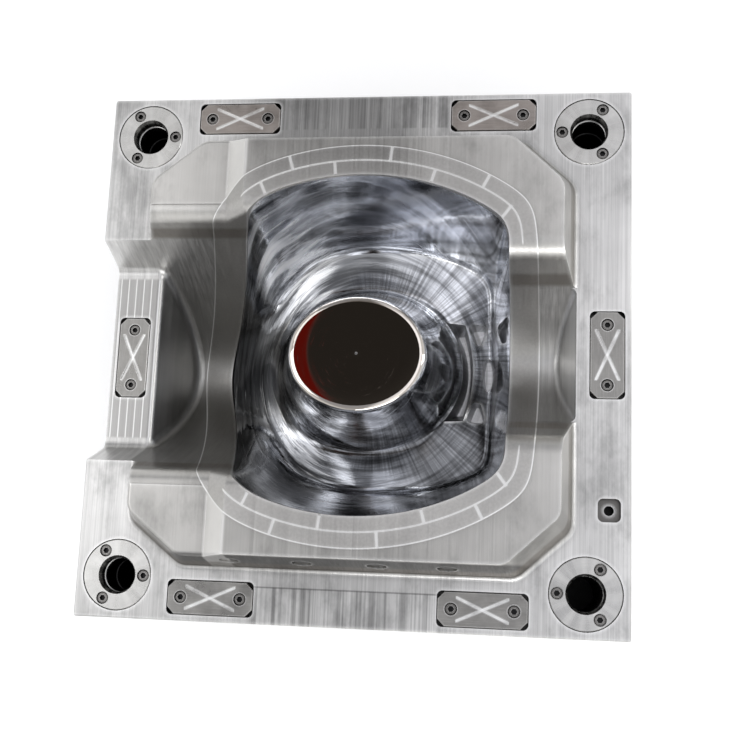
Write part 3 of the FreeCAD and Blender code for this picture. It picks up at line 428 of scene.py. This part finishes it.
        # painted light: steep faces lighter than flat ones
        mirror = self.mix(self.tilt.rise(0.85, 0.35), (0.47, 0.48, 0.505), (0.70, 0.71, 0.735))
        # painted highlight streak
        mirror = self.mix(self.painted_shine * 0.8, mirror, (0.97, 0.97, 0.97))
        mirror = self.scaled(mirror, shade)
        # painted glints
        mirror = self.mix(self.painted_glint * 0.7, mirror, PAINTED_GLINT)
        # painted highlights in the hollows
        painted_pocket_highlight = self.scaled(PAINTED_GLINT, self.sweep.rise(0.35, 0.65, 0.55, 1.0))
        mirror = self.mix(self.pocket * 0.5, mirror, painted_pocket_highlight)
        # boss top in a warm painted tint for the brown it reflects
        return self.mix(self.top, mirror, (0.62, 0.57, 0.52))

    def roughness(self):
        satin = self.lines.rise(0.2, 0.8, 0.30, 0.44)
        gloss = self.sweep.rise(0.45, 0.75, 0.06, 0.16) + self.bottom * 0.10 + self.painted_shine * 0.42
        gloss = (gloss + self.pocket * 0.22 + self.painted_glint * 0.22) * (1.0 - self.top * 0.7)
        return satin + self.polished * (gloss - satin)

    def relief(self):
        """Cutter marks outside and faint polishing marks in the cavity, as one bumped normal."""
        grain = self.bump(self.bars, 0.12, 0.0008)
        grain = self.bump(self.lines, 0.20, 0.0003, grain)
        grain = self.bump(self.scratches, 0.05, 0.0002, grain)
        marked = self.x.rise(0.12, -0.08, 0.25, 1.0) * (1.0 - self.top)
        swirl = self.bump(self.sweep, marked * (1.0 - self.bottom * 0.8), 0.0010)
        swirl = self.bump(self.fine, (1.0 - self.top) * 0.35, 0.0002, swirl)
        blend = self.add("ShaderNodeMix", data_type="VECTOR")
        self.feed(blend.inputs["Factor"], self.polished)
        self.feed(blend.inputs[4], grain)
        self.feed(blend.inputs[5], swirl)
        return blend.outputs[1]


def past_bush(n):
    """Distance from the axis of the nearest guide bush."""
    return ((n.x.size() - BUSH_PLACE) ** 2.0 + (n.y.size() - BUSH_PLACE) ** 2.0).root()


def block_steel():
    n = BlockSteel()
    steel = n.mix(n.on_face, n.platform(), n.outer_face())
    steel = n.add_painted_shade(n.add_land(n.add_channels(n.add_ledge(steel))))
    steel = n.mix(n.polished, steel, n.cavity())
    # rubbed edges painted near white: edge wear and painted edge highlights
    steel = n.mix((1.0 - n.wear_and_edge_sheen).rise(0.15, 0.55) * 0.7, steel, (0.93, 0.93, 0.92))
    return n.finish(steel, n.roughness(), 1.0, n.relief())


def turned_steel(name, centre, colour, hole_depth=None):
    """Bright turned face with fine rings round its own axis and a painted sheen in fan-shaped sectors,
    painted dark as shade down its bore.
    """
    n = Surface(name)
    radius = ((n.x - centre.x) ** 2.0 + (n.y - centre.y) ** 2.0).root()
    rings = n.noise((1100, 1, 1), 3.0, 0.7, n.join(radius, 0.0, 0.0))
    turn = n.turn(n.x - centre.x, n.y - centre.y)
    # painted sheen in fan-shaped sectors round the axis
    fan_sheen = n.noise((2.2, 1, 1), 1.0, 0.5, n.join(turn, 0.0, 0.0))
    clouds = n.noise((30, 30, 30))
    tone = rings.rise(0.3, 0.7, 0.82, 1.08) * fan_sheen.rise(0.3, 0.7, 0.80, 1.15)
    tone = tone * clouds.rise(0.3, 0.7, 0.92, 1.05)
    shade = n.scaled(colour, tone)
    # painted shade down the bore
    if hole_depth is not None:
        top, depth = hole_depth
        shade = n.mix(n.z.rise(top - 0.010, top - depth), shade, (0.015, 0.015, 0.015))
    return n.finish(shade, fan_sheen.rise(0.3, 0.7, 0.22, 0.34), 1.0, n.bump(rings, 0.06, 0.0002))


def ground_steel(name, colour, along, box=None, bores=False):
    """Ground plate: fine straight lines along one axis. A box adds a wear plate's crossed oil grooves,
    painted bright as highlights, and rubbed edges painted bright as wear and edge sheen; bores paints shade,
    black, in the holes behind the guide bushes."""
    n = Surface(name)
    lines = n.noise((25, 1400, 40) if along == "X" else (1400, 25, 40), 3.0, 0.7)
    clouds = n.noise((22, 22, 22), 4.0, 0.65)
    tone = lines.rise(0.3, 0.7, 0.84, 1.07) * clouds.rise(0.3, 0.7, 0.80, 1.08)
    shade = n.scaled(colour, tone)
    rough = clouds.rise(0.3, 0.7, 0.26, 0.40)
    # painted shade: the bores behind the guide bushes black
    if bores:
        bore = past_bush(n).rise(0.030, 0.029) * n.z.rise(0.040, 0.045)
        shade = n.mix(bore, shade, PAINTED_HOLE_SHADE)
    if box is not None:
        low, high = box
        centre = (low + high) / 2
        length, across = n.x - centre.x, n.y - centre.y
        if along == "Y":
            length, across = across, length
        span_x, span_y = OIL_GROOVE_SPAN
        reach = length.size().rise(span_x / 2 + 0.002, span_x / 2) * n.z.rise(high.z - 0.003, high.z - 0.002)
        # crossed oil grooves painted bright as highlights
        for slope in (span_y / span_x, -span_y / span_x):
            line = (across - length * slope).band(0.0, OIL_GROOVE_WIDTH, 0.0007)
            shade = n.mix(line * reach * clouds.rise(0.35, 0.6, 0.35, 0.85), shade, (0.92, 0.92, 0.91))
        # rubbed edges painted bright: wear and painted edge sheen
        wear_and_edge_sheen = n.nearness(0.002, True)
        shade = n.mix((1.0 - wear_and_edge_sheen).rise(0.15, 0.5) * 0.6, shade, (0.9, 0.9, 0.89))
    return n.finish(shade, rough, 1.0, n.bump(lines, 0.15, 0.0002))


def black_oxide(name, top=None):
    """Blackened screw, rubbed bright on its head as wear and painted edge sheen, with painted shade dark in
    its socket.
    """
    n = Surface(name)
    specks = n.noise((500, 500, 500), 3.0)
    shade = n.mix(specks.rise(0.4, 0.8), (0.13, 0.125, 0.12), (0.26, 0.25, 0.24))
    # rubbed edges painted light: wear and painted edge sheen
    wear_and_edge_sheen = n.nearness(0.0015, True)
    shade = n.mix((1.0 - wear_and_edge_sheen).rise(0.15, 0.5) * 0.6, shade, (0.60, 0.59, 0.57))
    # painted shade in the socket
    if top is not None:
        shade = n.mix(n.z.rise(top - 0.001, top - 0.003), shade, (0.02, 0.02, 0.02))
    return n.finish(shade, specks.rise(0.3, 0.7, 0.28, 0.42), 1.0, n.bump(specks, 0.1, 0.0002))


def turned_brass(name):
    n = Surface(name)
    specks = n.noise((300, 300, 300), 3.0)
    shade = n.mix(specks, (0.62, 0.42, 0.14), (0.80, 0.60, 0.26))
    return n.finish(shade, specks.rise(0.3, 0.7, 0.2, 0.35), 1.0, n.bump(specks, 0.05, 0.0002))


def dress(name, material):
    mesh = frame["nodes"][name].data
    mesh.materials.clear()
    mesh.materials.append(material)


def dress_nodes():
    for name in frame["nodes"]:
        low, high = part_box(name)
        centre = (low + high) / 2
        if "screws" in name:
            dress(name, black_oxide(name + "_finish", high.z))
        elif name.startswith("guide_bush"):
            dress(name, turned_steel(name + "_finish", centre, (0.52, 0.515, 0.50), (high.z, 0.045)))
        elif name.startswith("wear_plate"):
            along = "X" if high.x - low.x > high.y - low.y else "Y"
            colour = (0.34, 0.307, 0.284) if centre.y > 0.2 else (0.30, 0.293, 0.28)
            dress(name, ground_steel(name + "_finish", colour, along, (low, high)))
        elif name in ("locating_ring", "hot_nozzle"):
            dress(name, turned_steel(name + "_finish", centre, (0.60, 0.60, 0.60)))
    dress("cavity_block", block_steel())
    plate = ground_steel("clamping_plate_finish", (0.56, 0.56, 0.55), "X", bores=True)
    dress("clamping_plate", plate)
    dress("dowel_pins", plate)
    dress("cooling_nipples", turned_brass("brass_finish"))


def floor():
    size = 12 * PLATE_HALF
    mesh = bpy.data.meshes.new("floor")
    corners = [(-size, -size, 0), (size, -size, 0), (size, size, 0), (-size, size, 0)]
    mesh.from_pydata(corners, [], [(0, 1, 2, 3)])
    piece = bpy.data.objects.new("floor", mesh)
    bpy.context.scene.collection.objects.link(piece)
    n = Surface("pale_floor")
    n.finish(n.mix(n.noise((3, 3, 3)), (0.93, 0.93, 0.93), (0.96, 0.96, 0.96)), 0.85, 0.0)
    seen = n.add("ShaderNodeLightPath")
    direct = Field(n, seen.outputs["Is Camera Ray"]).most(seen.outputs["Is Glossy Ray"])
    direct = direct.most(seen.outputs["Is Transmission Ray"])
    shader = n.tree.nodes["Principled BSDF"]
    n.feed(shader.inputs["Emission Color"], (1.0, 1.0, 1.0))
    n.feed(shader.inputs["Emission Strength"], direct * 0.15)
    mesh.materials.append(n.material)


def world():
    """Pale studio: white low down, greyer overhead, and above the mould a dark patch with a small
    red crescent, for the dark room that the photo's boss top reflects."""
    studio = bpy.data.worlds.new("studio")
    bpy.context.scene.world = studio
    n = Nodes(studio)
    x, y, z = n.split(n.add("ShaderNodeTexCoord").outputs["Generated"])
    up = z.most(0.02)
    off_x = x / up + 0.155
    off_y = y / up - 0.215
    away = (off_x * off_x + off_y * off_y * off_y.rise(-0.02, 0.02, 1.0, 0.10)).root()
    level = away.rise(0.05, 0.24, 0.025, 0.66) + away.rise(0.4, 1.6, 0.0, 0.26)
    level = level + off_x.rise(0.08, 0.18, 0.0, 0.95) * off_x.rise(0.70, 0.50)
    level = level * (1.0 - y.rise(0.34, 0.70) * 0.55)
    front = off_y.rise(-0.10, -0.30) * off_x.size().rise(0.45, 0.15) * z.rise(0.3, 0.6)
    level = level * (1.0 - front * 0.35)
    ring_x, ring_y = off_x - 0.014, off_y + 0.016
    warm = (ring_x * ring_x + ring_y * ring_y).root().band(0.068, 0.018, 0.003) * off_x.rise(0.0, -0.03)
    level = level + warm * 0.11
    level = (level - 0.92) * z.rise(0.38, 0.58) + 0.92
    colour = n.mix(away.rise(0.02, 0.25), (1.0, 0.88, 0.76), (0.97, 0.98, 1.03))
    colour = n.mix(away.rise(0.3, 1.2), colour, (1.0, 1.0, 1.0))
    colour = n.mix(warm, colour, (0.9, 0.05, 0.03))
    background = n.tree.nodes["Background"]
    n.feed(background.inputs["Color"], colour)
    n.feed(background.inputs["Strength"], level)


def area_light(name, place, target, size, power, colour=(1, 1, 1)):
    data = bpy.data.lights.new(name, "AREA")
    data.shape = "RECTANGLE"
    data.size, data.size_y = size
    data.energy = power
    data.color = colour
    lamp = bpy.data.objects.new(name, data)
    lamp.location = place
    lamp.rotation_euler = (Vector(target) - Vector(place)).to_track_quat("-Z", "Y").to_euler()
    bpy.context.scene.collection.objects.link(lamp)


def lights():
    area_light("left_box", (-1.7, -0.1, 2.3), (0, 0, 0.3), (1.2, 1.6), 11)
    area_light("left_rear_box", (-1.1, 0.95, 2.3), (-0.3, 0.2, 0.4), (0.8, 0.8), 2)
    area_light("front_box", (0.5, -2.0, 1.7), (0, 0, 0.3), (1.6, 0.6), 15)
    area_light("right_box", (2.0, 0.3, 1.7), (0, 0, 0.3), (0.5, 1.4), 10)


def camera():
    place = Vector((0.26234, -0.33149, FACE_Z + 1.68376))
    forward = Vector((-0.14236, 0.18001, -0.97331)).normalized()
    right = forward.cross(Vector((-0.01553, 0.98280, 0.18404))).normalized()
    up = right.cross(forward)
    data = bpy.data.cameras.new("camera")
    data.sensor_width = 36.0
    data.lens = 57.98
    eye = bpy.data.objects.new("camera", data)
    eye.matrix_world = Matrix((
        (right.x, up.x, -forward.x, place.x),
        (right.y, up.y, -forward.y, place.y),
        (right.z, up.z, -forward.z, place.z),
        (0, 0, 0, 1),
    ))
    bpy.context.scene.collection.objects.link(eye)
    bpy.context.scene.camera = eye


bpy.context.scene.view_settings.view_transform = "Standard"
camera()
dress_nodes()
floor()
world()
lights()
